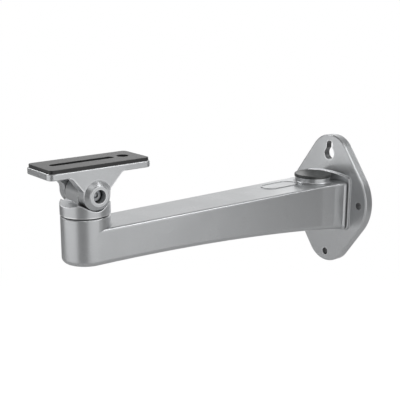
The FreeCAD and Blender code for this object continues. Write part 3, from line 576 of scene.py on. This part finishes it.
def head_rows(head_radius, head_height, shank_radius):
    """The head's face, its knurled side and its seat."""
    chamfer = HEAD_CHAMFER * head_radius

    def knurled(angle):
        valley = 1 - abs(math.sin(angle * KNURLS / 2))
        return head_radius - KNURL_DEPTH * head_radius * valley

    rows = [
        screw_row(0.0, head_radius - chamfer - 0.06),
        screw_row(-0.05, head_radius - chamfer),
        screw_row(-chamfer, head_radius - HEAD_SHOULDER * head_radius),
        screw_row(-chamfer * 1.5, knurled),
    ]
    for i in range(1, KNURL_ROWS):
        along = (head_height - chamfer * 2.5) * i / KNURL_ROWS
        rows.append(screw_row(-chamfer * 1.5 - along, knurled))
    rows += [
        screw_row(-head_height + chamfer, knurled),
        screw_row(-head_height + 0.05, head_radius - chamfer * 0.6),
        screw_row(-head_height, head_radius - chamfer * 0.8),
        screw_row(-head_height, shank_radius + 0.25),
    ]
    return rows


def thread_rows(shank_radius, length, pitch, thread_from):
    """The thread, which deepens over its first turn, and the shank's chamfered end."""
    depth = THREAD_DEPTH * pitch
    first = int(thread_from / pitch * THREAD_ROWS_PER_TURN) + 1
    last = int((length - 0.5 * pitch) / pitch * THREAD_ROWS_PER_TURN)
    rows = []
    for i in range(first, last):
        run_in = min(1.0, (i - first) / THREAD_ROWS_PER_TURN)

        def crest(angle, i=i, run_in=run_in):
            phase = (i / THREAD_ROWS_PER_TURN + angle / (2 * math.pi)) % 1.0
            groove = max(0.0, 1 - abs(phase - 0.5) * GROOVE_SLOPE)
            return shank_radius - depth * groove * run_in

        rows.append(screw_row(-i * pitch / THREAD_ROWS_PER_TURN, crest))
    rows += [
        screw_row(-length + 0.35 * pitch, shank_radius - 0.75 * depth),
        screw_row(-length, shank_radius - 1.1 * depth),
        screw_row(-length, POINT),
    ]
    return rows


def cap_screw(name, turn, head_radius, length, head_height, shank_radius, key, key_depth, pitch,
              thread_from):
    """A knurled socket cap screw. In its own frame the head's face is z = 0 and the shank runs
    along -z, then turn sets it in place. Lengths are millimetres."""
    rows = socket_rows(key, key_depth)
    rows += head_rows(head_radius, head_height, shank_radius)
    rows.append(screw_row(-head_height - 0.2, shank_radius))
    rows.append(screw_row(-thread_from, shank_radius))
    rows += thread_rows(shank_radius, length, pitch, thread_from)
    return skin(name, [[(radius * MM, z * MM) for radius, z in row] for row in rows], turn)


low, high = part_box("tilt_bolt")
tilt_turn = (Matrix.Translation((high.x, (low.y + high.y) / 2, (low.z + high.z) / 2))
             @ Matrix.Rotation(math.pi / 2, 4, "Y"))
tilt_screw = cap_screw("tilt_cap_screw", tilt_turn, (high.z - low.z) / 2 / MM,
                       (high.x - low.x) / MM, **TILT_SCREW)
finish_piece(tilt_screw, "head", "steel", tilt_steel, "tilt_bolt")

low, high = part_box("pan_bolt")
pan_turn = (Matrix.Translation((0, (low.y + high.y) / 2, low.z))
            @ Matrix.Rotation(math.pi, 4, "X"))
pan_screw = cap_screw("pan_cap_screw", pan_turn, (high.x - low.x) / 2 / MM,
                      (high.z - low.z) / MM, **PAN_SCREW)
finish_piece(pan_screw, "swivel", "steel", pan_steel, "pan_bolt")


# Sloped shoulders between each ear's ring and its round edge

EAR_FACE = 19.7
SHOULDER_SIDES = 120
SHOULDER_PROFILE = [
    # radius, height above the ear's face
    (8.6, 2.8), (8.8, 2.75), (9.0, 2.6), (12.0, -0.15), (12.15, -0.3), (12.19, -0.5),
    (11.5, -0.6), (8.6, -0.6),
]
shoulder_paint = silver_paint("shoulder_paint", TRIM_EDGE)
for side, name in ((1, "near_ear_shoulder"), (-1, "far_ear_shoulder")):
    shoulder_turn = (Matrix.Translation((side * EAR_FACE * MM, TILT_CENTRE.y, TILT_CENTRE.z))
                     @ Matrix.Rotation(side * math.pi / 2, 4, "Y"))
    rows = turned_rows(SHOULDER_PROFILE, SHOULDER_SIDES)
    shoulder = skin(name, rows, shoulder_turn, ring=True)
    finish_piece(shoulder, "head", "casting", shoulder_paint)


# Place of the badge on the arm: a plain oval with a raised rim, left bare

BADGE_CENTRE = Vector((-6.2, -74.6, 22.3)) * MM
BADGE_LENGTH = 43.0
BADGE_WIDTH = 18.6
BADGE_SIDES = 48
BADGE_PROFILE = [
    # inset from the outline, height above the arm's top
    (0.0, -0.2), (0.0, 0.25), (0.12, 0.5), (0.3, 0.6), (0.7, 0.6), (0.88, 0.5), (1.0, 0.2),
    (1.3, 0.15),
]


def badge_row(inset, height):
    """One closed row of points round the oval, inset from its outline, in metres."""
    radius = BADGE_WIDTH / 2 - inset
    straight = (BADGE_LENGTH - BADGE_WIDTH) / 2
    row = []
    for end in (1, -1):
        for i in range(BADGE_SIDES):
            angle = math.pi * i / (BADGE_SIDES - 1)
            x = radius * math.cos(angle) * end
            y = (straight + radius * math.sin(angle)) * end
            row.append(BADGE_CENTRE + Vector((x, y, height)) * MM)
    return row


def add_badge():
    rows = [badge_row(*step) for step in BADGE_PROFILE]
    count = len(rows[0])
    points = [point for row in rows for point in row]
    faces = []
    for r in range(len(rows) - 1):
        for i in range(count):
            j = (i + 1) % count
            faces.append((r * count + i, r * count + j, (r + 1) * count + j, (r + 1) * count + i))
    faces.append(tuple(reversed(range(count))))
    faces.append(tuple(range(len(points) - count, len(points))))
    return add_piece("bare_badge", points, faces)


finish_piece(add_badge(), "arm", "casting", silver_paint("badge_paint", TRIM_EDGE))


# Floor and surroundings

FLOOR_LEVEL = -0.5
FLOOR_HALF = 12.0
FLOOR_COLOUR = (0.8, 0.8, 0.8)
FLOOR_ROUGHNESS = 0.9
FLOOR_GLOW = 0.72
FLOOR_FADE = (0.5, 1.4)
ROOM = 0.17
BACKDROP = (-0.602, 0.799, 0.0)
BACKDROP_EDGE = (0.55, 0.92)


def add_floor():
    """A pale floor under the object. It fades to plain white away from the object, and a share
    of its own light keeps it pale for the camera and in reflections."""
    mesh = bpy.data.meshes.new("floor")
    corners = [(x * FLOOR_HALF, y * FLOOR_HALF, FLOOR_LEVEL)
               for x, y in ((-1, -1), (1, -1), (1, 1), (-1, 1))]
    mesh.from_pydata(corners, [], [(0, 1, 2, 3)])
    floor = bpy.data.objects.new("floor", mesh)
    bpy.context.scene.collection.objects.link(floor)
    look = Look("pale_floor", FLOOR_COLOUR, FLOOR_ROUGHNESS)
    apart = look.nodes.new("ShaderNodeVectorMath")
    apart.operation = "DISTANCE"
    look.links.new(look.place, apart.inputs[0])
    apart.inputs[1].default_value = (ARM_MIDDLE.x, ARM_MIDDLE.y, FLOOR_LEVEL)
    far = look.remap(apart.outputs["Value"], *FLOOR_FADE, 0.0, 1.0)
    path = look.nodes.new("ShaderNodeLightPath")
    level = look.nodes.new("ShaderNodeVectorMath")
    level.operation = "NORMALIZE"
    look.links.new(look.place, level.inputs[0])
    along = look.nodes.new("ShaderNodeVectorMath")
    along.operation = "DOT_PRODUCT"
    look.links.new(level.outputs[0], along.inputs[0])
    along.inputs[1].default_value = BACKDROP
    behind = look.remap(along.outputs["Value"], *BACKDROP_EDGE, 0.0, 1.0)
    mirrored = look.math("MAXIMUM", path.outputs["Is Glossy Ray"],
                         path.outputs["Is Transmission Ray"])
    mirrored = look.math("MULTIPLY", look.math("MULTIPLY", mirrored, behind), far)
    seen = look.math("MAXIMUM", path.outputs["Is Camera Ray"], mirrored)
    glow = look.nodes.new("ShaderNodeEmission")
    look.links.new(look.math("MULTIPLY", seen, FLOOR_GLOW), glow.inputs["Strength"])
    near = look.nodes.new("ShaderNodeAddShader")
    look.links.new(look.shader.outputs[0], near.inputs[0])
    look.links.new(glow.outputs[0], near.inputs[1])
    white = look.nodes.new("ShaderNodeEmission")
    white.inputs["Strength"].default_value = 1.0
    both = look.nodes.new("ShaderNodeMixShader")
    look.links.new(look.math("MULTIPLY", far, seen), both.inputs[0])
    look.links.new(near.outputs[0], both.inputs[1])
    look.links.new(white.outputs[0], both.inputs[2])
    look.links.new(both.outputs[0], look.nodes["Material Output"].inputs["Surface"])
    mesh.materials.append(look.material)


def light_the_world():
    """White for the camera. In reflections and through glass the backdrop is white and the rest
    of the room dim."""
    world = bpy.data.worlds.new("studio")
    bpy.context.scene.world = world
    world.use_nodes = True
    nodes, links = world.node_tree.nodes, world.node_tree.links
    nodes.clear()
    output = nodes.new("ShaderNodeOutputWorld")
    path = nodes.new("ShaderNodeLightPath")
    towards = nodes.new("ShaderNodeTexCoord")
    facing = nodes.new("ShaderNodeVectorMath")
    facing.operation = "DOT_PRODUCT"
    links.new(towards.outputs["Generated"], facing.inputs[0])
    facing.inputs[1].default_value = BACKDROP
    behind = nodes.new("ShaderNodeMapRange")
    for socket, value in zip(behind.inputs[1:5], (*BACKDROP_EDGE, ROOM, 1.0)):
        socket.default_value = value
    links.new(facing.outputs["Value"], behind.inputs[0])

    def pick(first, second, share):
        """A number between first and second."""
        first_at, second_at, result_at = MIX_NUMBERS
        node = nodes.new("ShaderNodeMix")
        node.data_type = "FLOAT"
        links.new(share, node.inputs[0])
        for place, value in ((first_at, first), (second_at, second)):
            if isinstance(value, float):
                node.inputs[place].default_value = value
            else:
                links.new(value, node.inputs[place])
        return node.outputs[result_at]

    level = pick(ROOM, behind.outputs[0], path.outputs["Is Glossy Ray"])
    level = pick(level, behind.outputs[0], path.outputs["Is Transmission Ray"])
    level = pick(level, 1.0, path.outputs["Is Camera Ray"])
    back = nodes.new("ShaderNodeBackground")
    back.inputs["Color"].default_value = (1, 1, 1, 1)
    links.new(level, back.inputs["Strength"])
    links.new(back.outputs[0], output.inputs["Surface"])


add_floor()
light_the_world()
bpy.context.scene.view_settings.view_transform = "Standard"
